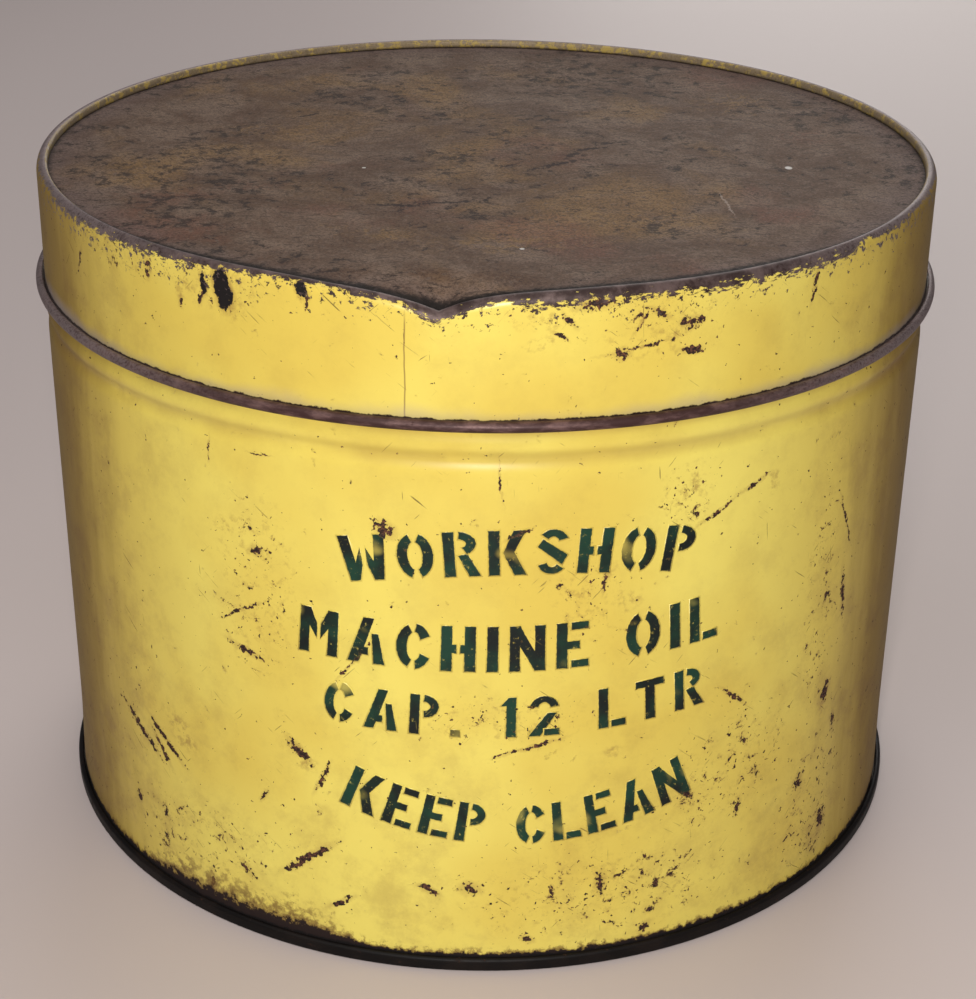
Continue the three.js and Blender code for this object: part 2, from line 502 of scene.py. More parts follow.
lidBlots = [(-29.9, 208.4, 11.6, 5.8, 97), (-32.7, 208.4, 6.2, 2.2, 93), (-20.2, 212.4, 5.4, 3.4, 105)]
lidMarks = [
    (-19.4, 209, 3.4, 1.0, 80), (-33, 205, 4, 1.2, 70), (95, 200, 12, 1.2, 20), (140, 204, 8, 2.4, 0),
    (-110, 198, 14, 1.0, -12), (-150, 206, 6, 3, 90), (172, 196, 9, 1.0, 40),
    (17, 198, 15, 0.8, 9), (15, 196.5, 3.4, 2.4, 0), (23, 203.4, 5.0, 2.6, 4), (23, 195.4, 5.0, 1.6, -3),
    (19, 207, 6.5, 1.2, -25), (17, 205, 6, 0.7, 55), (-36, 202, 3, 1.2, 86), (-56, 201, 7, 0.9, 66),
    (40, 207, 8, 1.0, 80), (-41, 209, 4.5, 2, 85), (8, 203, 4, 1.0, -40), (12, 211, 8, 2.6, 5),
    (9, 207, 4, 1.2, -50),
]
lidSmears = [
    (21, 202, 12, 6, 10), (6, 201, 9, 4, 20), (12, 212, 12, 4, 0), (-29, 206, 16, 9, 95), (-35, 205, 9, 8, 0),
]
lidBusy = [(-46, 209, 60, 10, 0), (20, 202, 40, 20, 0), (-30, 208, 26, 16, 0), (6, 209, 20, 10, 0)]


def enamelLayers(place, flat, along, height, made):
    # colour, roughness and surface height of chipped, scratched, rust-spotted enamel
    radius = made["radius"]
    degrees = product(along, 180 / math.pi / radius)
    broad = noise(place, 0.011, 3)
    middling = noise(place, 0.035, 4)
    grain = noise(place, 1.3, 3, 0.6)
    torn = ragged(flat, place, 0.9, 1.1)

    # the front is lighter and the sides deeper amber, which is painted shade falling off towards the sides,
    # over a random broad tone; thin brown stains are thickest low down and at the sides, where they add to
    # the painted shade
    sides = fade(maths("ABSOLUTE", degrees), 26, 66)
    rich = largest(fade(broad, 0.36, 0.68, 0.0, 0.7), sides)
    colour = blended(rich, enamel["light"], enamel["deep"])
    low = fade(height, made["dirtTop"], made["dirtTop"] * 0.1)
    busy = fade(nearestMark(torn, roundWall(made["busy"], radius)), 1.25, 0.55)
    behind = fade(maths("ABSOLUTE", degrees), 66, 84)
    busy = largest(busy, product(behind, fade(middling, 0.42, 0.6)))
    dirtAndShade = total(product(low, 0.2), product(sides, 0.34))
    blotch = fade(noise(place, 0.06, 6, 0.72), 0.42, 0.74)
    stainShare = product(blotch, total(dirtAndShade, 0.14))
    smear = nearestMark(torn, roundWall(made["smears"], radius))
    cloud = noise(place, 0.33, 5, 0.7)
    smearShare = product(fade(smear, 1.5, 0.4), fade(cloud, 0.44, 0.66))
    dingy = product(busy, 0.4, fade(cloud, 0.5, 0.7))
    stainShare = largest(stainShare, product(smearShare, 0.6), dingy)
    colour = blended(stainShare, colour, enamel["stain"])

    # painted shade: dark brown upright streaks at both sides, fading again towards the back
    streaky = noise(combined(along, product(height, 0.2), 7.0), 0.10, 4, 0.6)
    turned = total(maths("ABSOLUTE", degrees), product(streaky, 14.0))
    brown = product(fade(turned, 52, 74), fade(turned, 130, 90, 0.2, 1.0))
    colour = blended(product(brown, 0.72), colour, enamel["shade"])

    # specks of rust, fine and middling, crowded together where the tin was rubbed
    crowd = total(product(busy, 0.9), product(dirtAndShade, 0.45))
    fineSpeck = noise(place, 0.62, 3, 0.55)
    fineEdge = minus(0.705, product(crowd, 0.06))
    fineShare = fade(minus(fineSpeck, fineEdge), 0.0, 0.025)
    chipSpeck = noise(place, 0.25, 6, 0.72, 0.4)
    chipEdge = minus(0.70, product(crowd, fade(blotch, 0.0, 0.7, 0.075, 0.13)))
    chipPast = minus(chipSpeck, chipEdge)
    chipShare = fade(chipPast, 0.0, 0.02)
    halo = fade(chipPast, -0.05, 0.01)

    # short scratches, leaning both ways
    scratchShare = largest(
        dashed(flat, 38, 0.0, 13, 0.75, 0.70, 0.74),
        dashed(flat, -47, 40.0, 10, 0.7, 0.71, 0.75),
        dashed(flat, 86, 90.0, 15, 0.8, 0.73, 0.77),
    )
    rubbed = largest(fade(middling, 0.50, 0.60), busy)
    scratchShare = product(scratchShare, rubbed, 0.7)

    # the marks that are each somewhere of their own
    reach = nearestMark(torn, roundWall(made["marks"], radius))
    patchy = total(reach, swing(cloud, 3.4), swing(fineSpeck, 5.0))
    markShare = fade(patchy, 1.12, 0.9)
    markHalo = fade(reach, 2.2, 0.9, 0.0, 0.7)
    if made["blots"]:
        blot = nearestMark(torn, roundWall(made["blots"], radius))
        blot = total(blot, swing(cloud, 1.2))
        hole = fade(blot, 1.05, 0.92)
        markShare = largest(markShare, hole)
        markHalo = largest(markHalo, fade(blot, 1.5, 1.0))

    haloShare = product(largest(halo, markHalo), 0.4)
    colour = blended(haloShare, colour, enamel["stain"])
    rustColour = blended(fade(grain, 0.42, 0.68), enamel["darkRust"], enamel["rust"])
    gone = largest(fineShare, chipShare, markShare, scratchShare)
    colour = blended(gone, colour, rustColour)
    if made["blots"]:
        colour = blended(hole, colour, (0.006, 0.004, 0.004))
    dull = total(product(broad, 0.16), product(grain, 0.08), product(brown, 0.3), 0.2)
    roughness = mixed(gone, dull, 0.82)
    deepest = fade(chipSpeck, 0.655, 0.675)
    surface = minus(product(noise(place, 0.45, 2), 0.10), deepest)
    return {"colour": colour, "roughness": roughness, "surface": surface, "gone": gone,
            "degrees": degrees, "grain": grain, "middling": middling, "cloud": cloud}


tinplate = {"bright": (0.36, 0.34, 0.31), "dull": (0.17, 0.145, 0.12), "rust": (0.14, 0.065, 0.035)}


def withTinplate(place, share, colour, roughness):
    # the unpainted inside, laid over a finish: grey tin with soft stains and a few rust spots
    cloudy = fade(noise(place, 0.03, 5, 0.6, 0.5), 0.35, 0.7)
    spots = fade(noise(place, 0.22, 5, 0.7), 0.66, 0.72)
    metal = blended(cloudy, tinplate["bright"], tinplate["dull"])
    metal = blended(spots, metal, tinplate["rust"])
    roughness = mixed(share, roughness, mixed(largest(spots, cloudy), 0.36, 0.62))
    return blended(share, colour, metal), roughness, spots


def bodyFinish():
    material, tree = newMaterial("yellowEnamelBody")
    place = objectPlace(tree)
    flat, along, height = unrolled(place, wall["radius"])
    layers = enamelLayers(place, flat, along, height, bodyMade)
    colour, roughness = layers["colour"], layers["roughness"]

    # black creeps up from the seam, with rust above it in places
    creep = swing(noise(place, 0.4, 6, 0.68), 4.0)
    above = total(minus(height, wall["seamTop"]), creep)
    black = fade(above, 0.5, -0.2)
    degrees = layers["degrees"]
    leftFoot = product(fade(degrees, -52, -38), fade(degrees, -12, -24))
    patches = fade(layers["cloud"], 0.36, 0.66)
    patchTop = product(patches, total(1.3, product(leftFoot, 3.4)))
    rustTop = total(0.5, product(leftFoot, 2.4), patchTop)
    share = maths("DIVIDE", above, rustTop)
    colour = blended(fade(share, 2.4, 0.8, 0.0, 0.85), colour, enamel["shade"])
    footRust = fade(share, 1.0, 0.6)
    rustTone = blended(fade(share, 1.0, 0.7), enamel["rust"], enamel["darkRust"])
    colour = blended(footRust, colour, rustTone)
    colour = blended(black, colour, (0.006, 0.004, 0.004))
    roughness = mixed(largest(black, footRust), roughness, 0.9)

    # painted shade in the groove and under the lid's edge, broken up by noise
    groove = maths("ABSOLUTE", minus(height, bodyProfile["groove"]))
    grooveShade = fade(groove, 3.4, 0.2, 0.0, 0.30)
    grooveShade = total(grooveShade, fade(height, 172.5, 176, 0.0, 0.55))
    grooveShade = product(grooveShade, fade(layers["middling"], 0.25, 0.6))
    colour = blended(grooveShade, colour, enamel["stain"])

    # the neck was never painted above the lid's edge
    unpainted = fade(total(height, product(layers["grain"], 3.0)), 181, 182.5)
    bare = largest(unpainted, liningShare(tree))
    colour, roughness, spots = withTinplate(place, bare, colour, roughness)
    setShader(tree, {
        "Base Color": colour, "Roughness": roughness,
        "Metallic": product(bare, 0.85, without(spots)), "Specular IOR Level": 0.28,
    }, layers["surface"], 0.16)
    return material


bareMetal = {
    "brown": (0.034, 0.019, 0.017), "violet": (0.118, 0.080, 0.074), "pale": (0.235, 0.185, 0.182),
    "beadDark": (0.045, 0.020, 0.019), "beadLight": (0.145, 0.082, 0.076),
}


def lidFinish():
    material, tree = newMaterial("yellowEnamelLid")
    place = madePlace(tree)
    flat, along, height = unrolled(place, lidSize["skirt"])
    x, y, _ = parts(place)
    spread = maths("SQRT", total(product(x, x), product(y, y)))
    shifted = vectorMaths("ADD", place, (300.0, 120.0, 55.0))
    layers = enamelLayers(shifted, flat, along, height, lidMade)
    colour, roughness, degrees = layers["colour"], layers["roughness"], layers["degrees"]

    # hairline along the lapped seam
    seamShift = swing(layers["middling"], 2.0)
    lapAt = math.radians(lidSeam["angle"]) * lidSize["skirt"]
    lap = maths("ABSOLUTE", total(minus(along, lapAt), seamShift))
    lap = product(fade(lap, 0.32, 0.1), fade(height, 212, 208, 0.2, 0.6))
    colour = blended(lap, colour, enamel["rust"])

    # dusty bloom above the wired edge; it is stronger at the sides, where the extra paleness is painted sheen
    awayFromFront = maths("ABSOLUTE", degrees)
    aside = fade(awayFromFront, 14, 62)
    bloomTop = total(lidSize["beadHeight"] + 1.0, product(layers["middling"], 10.0))
    bloomAndSheen = fade(minus(height, bloomTop), 0.0, -6.0)
    bloomAndSheen = product(bloomAndSheen, total(0.42, product(aside, 0.5)))
    colour = blended(bloomAndSheen, colour, (0.33, 0.27, 0.25))
    roughness = mixed(bloomAndSheen, roughness, 0.75)

    # paint worn off the crest in streaks along it: far on the left, in the V, and up to a step on the right
    streak = noise(combined(product(along, 0.36), height, 0.0), 0.85, 5, 0.7)
    down = minus(lidSize["top"], height)
    left = product(fade(degrees, -70, -56), fade(degrees, -24, -40))
    right = product(fade(degrees, 1, 7), fade(degrees, 47.8, 46.8))
    vee = fade(maths("ABSOLUTE", total(degrees, 5.0)), 3.6, 2.2)
    elsewhere = fade(noise(place, 0.05, 2), 0.42, 0.66)
    reachDown = total(0.75, product(left, 1.3), product(right, 1.9),
                      product(vee, 1.7), product(elsewhere, 0.8))
    past = maths("DIVIDE", down, reachDown)
    past = total(past, swing(streak, 5.0))
    crest = fade(past, 1.15, 0.9)
    crumbly = largest(left, product(right, 0.5))
    crumbEdge = total(0.50, product(down, 0.013), product(crumbly, -0.03))
    crumbs = fade(minus(noise(place, 0.5, 5, 0.72), crumbEdge), 0.02, 0.05)
    crumbs = product(crumbs, fade(down, 11.0, 8.0))
    recessWall = fade(spread, lidSize["hook"] + 0.55, lidSize["hook"] + 0.3)
    rubbed = fade(noise(place, 0.28, 5, 0.7), 0.44, 0.50)
    crest = mixed(recessWall, crest, product(rubbed, 0.9))

    # the wired edge shows the sheet's unpainted side, browned with age
    bead = fade(spread, lidSize["skirt"] + 0.22, lidSize["skirt"] + 0.3)
    paintEnd = minus(height, lidSize["beadHeight"] + 1.3)
    paintEnd = total(paintEnd, swing(layers["cloud"], 2.2))
    edge = fade(paintEnd, 0.5, 0.1)
    bare = largest(crest, crumbs, edge, bead)
    tone = fade(noise(place, 0.16, 6, 0.7), 0.38, 0.66)
    crestMetal = blended(tone, bareMetal["brown"], bareMetal["violet"])
    beadStreak = noise(combined(product(along, 0.3), height, 0.0), 0.4, 5, 0.7)
    beadTone = fade(beadStreak, 0.42, 0.72)
    beadMetal = blended(beadTone, bareMetal["beadDark"], bareMetal["beadLight"])
    lowDown = fade(height, 190, 188)
    metal = blended(lowDown, crestMetal, beadMetal)
    # bare metal paler towards the sides: painted sheen, broken up by grain
    dustAndSheen = product(fade(awayFromFront, 20, 64), fade(layers["grain"], 0.25, 0.6),
                    mixed(lowDown, 0.72, 0.85))
    metal = blended(dustAndSheen, metal, bareMetal["pale"])
    corner = fade(paintEnd, -0.7, 0.2, 0.0, 0.7)
    corner = product(corner, fade(paintEnd, 0.9, 0.4), without(bead))
    metal = blended(corner, metal, (0.008, 0.004, 0.004))
    colour = blended(bare, colour, metal)

    # the recess wall has gone dull
    colour = blended(product(recessWall, 0.45), colour, (0.31, 0.235, 0.11))

    # painted shadow and dirt along the inner side of the crest, at the front only
    dirtAndShade = product(fade(spread, lidSize["hook"] + 0.85, lidSize["hook"] + 0.7),
                   fade(down, 1.4, 0.9), fade(awayFromFront, 66, 48))
    colour = blended(dirtAndShade, colour, (0.008, 0.005, 0.005))
    roughness = mixed(bare, roughness, mixed(layers["grain"], 0.34, 0.66))
    roughness = mixed(dirtAndShade, roughness, 0.95)

    lining = product(liningShare(tree), without(bead))
    colour, roughness, spots = withTinplate(place, lining, colour, roughness)
    shine = largest(product(bare, 0.3), product(lining, 0.85))
    setShader(tree, {
        "Base Color": colour, "Roughness": roughness,
        "Metallic": product(shine, without(product(spots, lining))), "Specular IOR Level": 0.28,
    }, minus(layers["surface"], product(bare, 0.6)), 0.16)
    return material


panelTones = {
    "brown": (0.085, 0.047, 0.028), "grey": (0.158, 0.106, 0.075), "dark": (0.016, 0.010, 0.008),
    "ochre": (0.225, 0.130, 0.048), "red": (0.145, 0.060, 0.038), "violet": (0.118, 0.082, 0.080),
}

# millimetres from the middle to the right and to the back
panelScratches = [
    (-27, -58, 12, 2.2, 6), (-12, -54, 16, 1.6, 14), (0, -50, 9, 1.6, 66), (22, -14, 18, 2.6, 36),
    (33, 3, 12, 2.6, 22), (27, -4, 10, 2.4, 62), (40, 10, 8, 2, 20), (-60, 40, 12, 1.5, 40),
    (60, 70, 14, 1.4, -30),
]
panelSpecks = [(94, -14, 2.2, 3.0, 0), (-38, -20, 1.2, 1.2, 0), (10, -96, 1.4, 1.4, 0)]
panelHair = [(71, -52, 24, 0.6, 96)]
panelTints = [
    (40, -66, 40, 26, 0), (10, -90, 64, 18, 4), (82, 60, 34, 24, 30), (-30, -84, 30, 12, -12),
    (-70, 20, 34, 20, 0),
]
panelReds = [(-97, -54, 26, 14, -30), (-72, -43, 26, 10, 0), (104, 20, 20, 16, 0)]


def panelFinish():
    material, tree = newMaterial("wornPanel")
    place = madePlace(tree)
    x, y, _ = parts(place)
    spread = maths("SQRT", total(product(x, x), product(y, y)))
    broad = noise(place, 0.016, 4, 0.6, 0.4)
    middling = noise(place, 0.05, 6, 0.7, 0.5)
    fine = noise(place, 0.5, 5, 0.75)
    grain = noise(place, 1.5, 4, 0.7)
    colour = blended(fade(middling, 0.36, 0.66), panelTones["brown"], panelTones["grey"])
    colour = blended(fade(broad, 0.50, 0.68, 0.0, 0.6), colour, panelTones["ochre"])
    reddish = noise(vectorMaths("ADD", place, (90.0, -40.0, 0.0)), 0.02, 4, 0.6)
    colour = blended(fade(reddish, 0.54, 0.70, 0.0, 0.55), colour, panelTones["red"])
    edge = fade(total(spread, product(middling, 18.0)), 128, 148)
    colour = blended(product(edge, 0.6), colour, panelTones["violet"])

    flat = combined(x, y, 0.0)
    soft = ragged(flat, place, 3.0, 9.0)
    thinned = fade(middling, 0.3, 0.6)
    for marks, tone, strength in ((panelTints, "ochre", 0.7), (panelReds, "red", 0.5)):
        tint = product(fade(nearestMark(soft, marks), 1.5, 0.3), thinned, strength)
        colour = blended(tint, colour, panelTones[tone])

    # dark mottles, crowded in places, and short rubs
    crowd = fade(noise(place, 0.018, 3), 0.42, 0.62)
    mottleEdge = minus(0.59, product(crowd, 0.08))
    mottle = minus(noise(place, 0.18, 7, 0.76, 0.3), mottleEdge)
    mottle = fade(mottle, -0.015, 0.055)
    colour = blended(product(mottle, 0.78), colour, panelTones["dark"])
    fleck = fade(noise(place, 0.5, 4, 0.65), 0.60, 0.65)
    colour = blended(product(fleck, 0.75), colour, panelTones["dark"])
    rub = largest(
        dashed(place, 12, 0.0, 5, 1.6, 0.62, 0.68),
        dashed(place, -24, 70.0, 7, 1.3, 0.64, 0.70),
        dashed(place, 65, 150.0, 9, 1.0, 0.66, 0.74),
    )
    rub = product(rub, fade(middling, 0.40, 0.56, 0.25, 1.0))
    colour = blended(product(rub, 0.55), colour, panelTones["dark"])
    colour = blended(fade(fine, 0.50, 0.66, 0.0, 0.45), colour, (0.24, 0.17, 0.13))
    colour = blended(fade(grain, 0.46, 0.60, 0.0, 0.5), colour, panelTones["dark"])
    torn = ragged(flat, place, 1.0, 1.2)
    scratch = total(nearestMark(torn, panelScratches), swing(fine, 5.0))
    colour = blended(fade(scratch, 1.15, 0.8, 0.0, 0.8), colour, panelTones["dark"])
    speck = fade(nearestMark(flat, panelSpecks), 1.2, 0.8)
    colour = blended(product(speck, 0.8), colour, (0.62, 0.6, 0.56))
    hair = fade(nearestMark(torn, panelHair), 1.3, 0.7)
    colour = blended(product(hair, 0.3), colour, (0.5, 0.42, 0.36))

    # painted shadow of the crest: a black band in the corner with the rim, widest at the front
    around = maths("DIVIDE", product(y, -1.0), spread)
    wide = fade(around, 0.5, 0.9, 0.3, 7.2)
    inner = minus(lidSize["hook"] - 0.5, wide)
    corner = total(minus(spread, inner), swing(fine, 6.0))
    crestShadow = fade(corner, -1.6, 1.4, 0.0, 0.94)
    colour = blended(crestShadow, colour, (0.008, 0.005, 0.004))

    lining = liningShare(tree)
    colour, roughness, _ = withTinplate(place, lining, colour, total(0.52, product(fine, 0.35)))
    setShader(tree, {
        "Base Color": colour, "Roughness": roughness,
        "Metallic": product(lining, 0.8), "Specular IOR Level": 0.12,
    }, minus(product(fine, 0.8), product(mottle, 0.5)), 0.12)
    return material


def bottomFinish():
    material, tree = newMaterial("blackEnamel")
    place = objectPlace(tree)
    wear = noise(place, 0.35, 6, 0.72)
    chips = fade(wear, 0.62, 0.68)
    cloudy = fade(noise(place, 0.08, 3), 0.4, 0.7)
    colour = blended(cloudy, (0.004, 0.003, 0.003), (0.009, 0.006, 0.005))
    colour = blended(chips, colour, (0.030, 0.014, 0.009))
    roughness = mixed(chips, total(0.42, product(wear, 0.2)), 0.8)
    lining = liningShare(tree)
    colour, roughness, _ = withTinplate(place, lining, colour, roughness)
    setShader(tree, {
        "Base Color": colour, "Roughness": roughness,
        "Metallic": product(lining, 0.8), "Specular IOR Level": 0.14,
    }, minus(wear, chips), 0.12)
    return material


def plainMetalFinish(name, bright, dark, roughness, metallic):
    material, tree = newMaterial(name)
    place = objectPlace(tree)
    cloudy = fade(noise(place, 0.25, 5, 0.65), 0.36, 0.68)
    setShader(tree, {
        "Base Color": blended(cloudy, bright, dark),
        "Roughness": mixed(cloudy, roughness, roughness + 0.25), "Metallic": metallic,
    }, noise(place, 1.2, 3), 0.05)
    return material


stencil = {"green": (0.005, 0.036, 0.020), "black": (0.003, 0.006, 0.005)}


def stencilFinish():
    # green paint sprayed through a stencil; where it is thin or worn, the enamel under it shows
    material, tree = newMaterial("stencilPaint")
    place = objectPlace(tree)
    flat, along, height = unrolled(place, wall["radius"])
    layers = enamelLayers(place, flat, along, height, letteredMade)
    soft = swing(noise(place, 0.9, 4, 0.7), 0.9)
    share = fade(total(attribute(tree, "core"), soft), 0.26, 0.72)
    thin = fade(noise(vectorMaths("ADD", place, (0.0, 0.0, 31.0)), 0.07, 2), 0.60, 0.74)
    rubbed = fade(noise(place, 0.6, 5, 0.75), 0.60, 0.70)
    for worn, strength in ((thin, 0.55), (rubbed, 0.5), (layers["gone"], 0.75)):
        share = product(share, without(product(worn, strength)))
    tone = fade(noise(place, 0.07, 3), 0.36, 0.66)
    paint = blended(tone, stencil["black"], stencil["green"])
    setShader(tree, {
        "Base Color": blended(share, layers["colour"], paint),
        "Roughness": mixed(share, layers["roughness"], 0.5), "Specular IOR Level": 0.3,
    }, layers["surface"], 0.16)
    return material


# the body's wall: rolled up from the seam, a soft groove and ridge, the neck, and the mouth's curl

bodyProfile = {
    "start": 1.4,
    "groove": lidSize["beadHeight"] - 10.8, "grooveDepth": 1.0, "grooveWide": 2.5,
    "ridge": lidSize["beadHeight"] - 7.3, "ridgeRise": 0.35, "ridgeWide": 1.7,
    "neckFrom": lidSize["beadHeight"] - 5.9, "neckTo": lidSize["beadHeight"] - 2.6,
    "curl": 1.4,
}


def wallMiddle(height):
    shape = bodyProfile
    groove = math.exp(-((height - shape["groove"]) / shape["grooveWide"]) ** 2)
    ridge = math.exp(-((height - shape["ridge"]) / shape["ridgeWide"]) ** 2)
    neck = smoothed((height - shape["neckFrom"]) / (shape["neckTo"] - shape["neckFrom"]))
    radius = wall["radius"] + (wall["neck"] - wall["radius"]) * neck
    return radius - shape["grooveDepth"] * groove + shape["ridgeRise"] * ridge


lidSeam = {"angle": -8.5}

bodyMade = {
    "radius": wall["radius"], "dirtTop": 125,
    "marks": bodyMarks, "smears": bodySmears, "busy": bodyBusy, "blots": [],
}
lidMade = {
    "radius": lidSize["skirt"], "dirtTop": 30,
    "marks": lidMarks, "smears": lidSmears, "busy": lidBusy, "blots": lidBlots,
}
# only the marks that reach the lettering
letteredMade = dict(bodyMade)
for kind in ("marks", "smears", "busy"):
    letteredMade[kind] = [mark for mark in bodyMade[kind] if abs(mark[0]) < 34]

bodyEnamel = bodyFinish()
lidEnamel = lidFinish()
wornPanel = panelFinish()
blackEnamel = bottomFinish()
stencilPaint = stencilFinish()
steelWire = plainMetalFinish("drawnWire", (0.42, 0.40, 0.37), (0.16, 0.11, 0.08), 0.35, 0.9)
softSolder = plainMetalFinish("softSolder", (0.42, 0.41, 0.39), (0.31, 0.295, 0.275), 0.4, 0.85)
sealing = plainMetalFinish("sealingCompound", (0.05, 0.045, 0.04), (0.03, 0.027, 0.024), 0.7, 0.0)
print("finishes made")

shape = bodyProfile
grooveFrom = shape["groove"] - 7
heights = upTo(shape["start"], 9, 1.2)[:-1] + upTo(9, grooveFrom, 4)[:-1]
heights += upTo(grooveFrom, shape["neckTo"] + 1, 0.45)[:-1]
mouthCentre = (wall["neck"] - shape["curl"], wall["mouth"] - sheet / 2 - shape["curl"])
heights += upTo(shape["neckTo"] + 1, mouthCentre[1], 3)[:-1]
bodyLine = [(wallMiddle(z), z) for z in heights]
bodyLine += arc(mouthCentre, (shape["curl"], shape["curl"]), 0, 285, 16)
canWall = turnedPiece("can_wall", bodyLine, True, 360, bodyEnamel)
pushWall(canWall, bodyDents, wall["seamTop"], 181)
facedOut(canWall)
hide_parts("body_shell")
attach(canWall, "can")
print("body wall made")


# the countersunk bottom and its double seam

bottomShape = {"countersink": 4, "round": 0.55}

seamOut = bottomHigh.x / mm - sheet / 2
foldTop = wall["seamTop"] - sheet / 2
chuck = wall["radius"] - 0.7
foldIn = wall["radius"] + 0.7
bend = bottomShape["round"]
bottomLine = [(r, bottomShape["countersink"]) for r in upTo(0, 132, 12)]
bottomLine += arc((chuck - 1.2, bottomShape["countersink"] - 1.2), (1.2, 1.2), 90, 0, 5)
bottomLine += arc((chuck + bend, sheet / 2 + bend), (bend, bend), 180, 270, 4)
bottomLine += arc((seamOut - bend, sheet / 2 + bend), (bend, bend), 270, 360, 5)
bottomLine += arc((seamOut - bend * 1.6, foldTop - bend * 1.6), (bend * 1.6, bend * 1.6), 0, 90, 7)
bottomLine += arc((foldIn + 0.35, foldTop - 0.35), (0.35, 0.35), 90, 180, 4)
bottomLine += [(foldIn, 3.2), (foldIn, 1.6)]
canBottom = turnedPiece("can_bottom", bottomLine, True, 288, blackEnamel)
facedOut(canBottom)
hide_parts("bottom_end")
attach(canBottom, "can")
print("bottom made")


# the lid: skirt with its wired edge, and the recessed panel folded under the skirt's top

lidShape = {"shoulderWide": 2.0, "shoulderDrop": 3.0, "inner": 0.9, "curl": 1.4}

hook, skirt, panelTop = lidSize["hook"], lidSize["skirt"], lidSize["panel"]
crest = lidSize["top"] - sheet / 2
beadCentre = (skirt + lidShape["curl"], lidSize["beadHeight"])
skirtLine = [(hook, panelTop + 0.12), (hook, panelTop + 0.8)]
skirtLine += arc((hook + lidShape["inner"], crest - lidShape["inner"]), (lidShape["inner"],) * 2, 180, 90, 6)
skirtLine += arc((skirt - lidShape["shoulderWide"], crest - lidShape["shoulderDrop"]),
                 (lidShape["shoulderWide"], lidShape["shoulderDrop"]), 88, 0, 10)
skirtLine += [(skirt, z) for z in upTo(crest - lidShape["shoulderDrop"], beadCentre[1] + 0.4, 2.0)[1:]]
skirtLine += arc(beadCentre, (lidShape["curl"],) * 2, 180, 468, 20)
lidSide = turnedPiece("lid_side", skirtLine, False, 360, lidEnamel)
pushWall(lidSide, lidDents, beadCentre[1] - 20, lidSize["top"] + 4, waves=False)
knockRim(lidSide)
facedOut(lidSide)
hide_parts("lid_skirt")
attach(lidSide, "lid")
print("lid side made")

panelShape = {"flange": 1.5, "dish": 0.5}

panelMiddle = panelTop - sheet / 2
panelLine = [(r, panelMiddle) for r in upTo(0, 100, 4)[:-1] + upTo(100, hook + 0.9, 1.5)]
panelLine += arc((hook + 0.9, panelMiddle + 0.6), (0.6, 0.6), 285, 360, 4)
panelLine += [(hook + 1.5, panelMiddle + panelShape["flange"])]
lidTop = turnedPiece("lid_top", panelLine, False, 288, wornPanel)


def dishPanel(piece):
    # a slightly slack, uneven sheet, held at its rim
    places = readPlaces(piece)
    x, y = places[:, 0], places[:, 1]
    spread = np.hypot(x, y)
    slack = smoothed((132 - spread) / 45)
    ripple = 0.5 * np.sin(x / 31 + 0.6) * np.cos(y / 27 - 0.4) + 0.22 * np.sin(x / 13 - y / 17 + 2.0)
    places[:, 2] += slack * (ripple - panelShape["dish"])
    writePlaces(piece, places)


dishPanel(lidTop)
knockRim(lidTop)
facedOut(lidTop)
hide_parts("lid_panel")
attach(lidTop, "lid")
print("lid panel made")


# stencilled lettering: plain bridged capitals, each part cut as its own shape, wrapped on the wall

def box(x0, y0, x1, y1):
    return [(x0, y0), (x1, y0), (x1, y1), (x0, y1)]


def bow(centre, radii, start, end, thick=0.2, steps=10):
    inner = (radii[0] - thick, radii[1] - thick * 0.85)
    return arc(centre, radii, start, end, steps) + arc(centre, inner, end, start, steps)


upright = box(0, 0, 0.21, 1)
